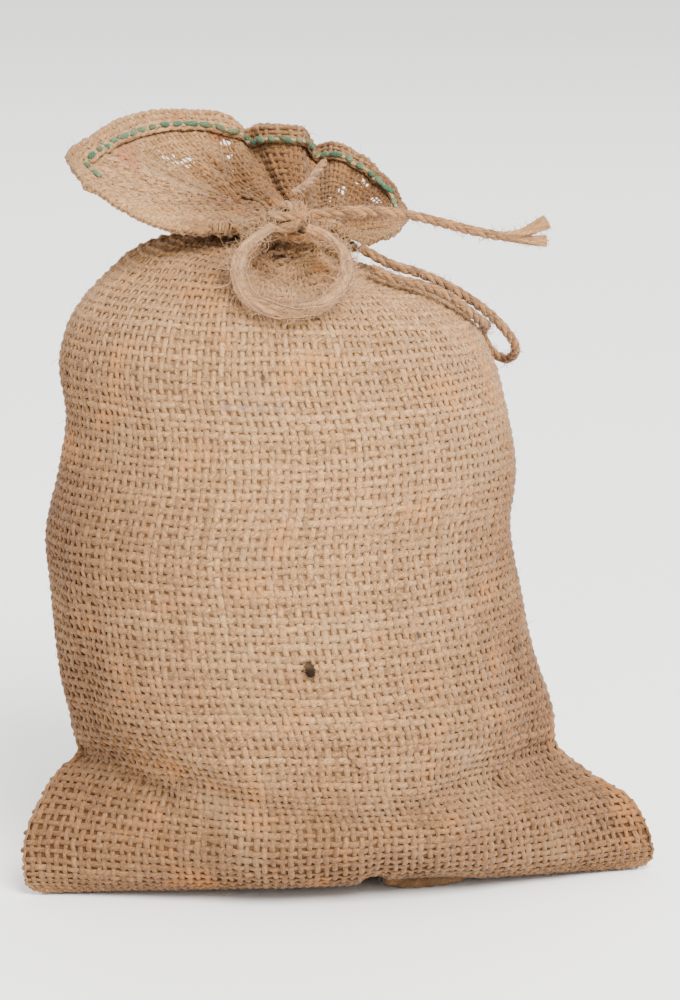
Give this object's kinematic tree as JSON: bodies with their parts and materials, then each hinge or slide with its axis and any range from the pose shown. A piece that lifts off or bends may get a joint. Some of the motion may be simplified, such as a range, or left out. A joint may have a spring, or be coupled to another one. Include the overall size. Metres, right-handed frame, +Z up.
{
  "type": "hessian sack",
  "caption": "Small filled hessian sack that stands on its sewn bottom, tied at a gathered neck with jute twine, its hemmed mouth flared open.",
  "frame": {"origin": "on the floor under the middle of the sack's box", "axes": "+Z up through the neck, +X from the left bottom corner to the right one, front of the sack towards -Y"},
  "size_m": [0.1996, 0.1042, 0.2412],
  "materials": {
    "hessian": "plain-woven natural jute hessian, open weave, matt and hairy",
    "twine": "twisted natural jute twine, matt, with loose fibres"
  },
  "bodies": {
    "root": {"sack_cloth": "hessian", "tie_wrap": "twine", "tie_knot": "twine", "tie_loop_front": "twine", "tie_loop_back": "twine", "tie_end_right": "twine", "tie_end_tucked": "twine"}
  },
  "joints": []
}
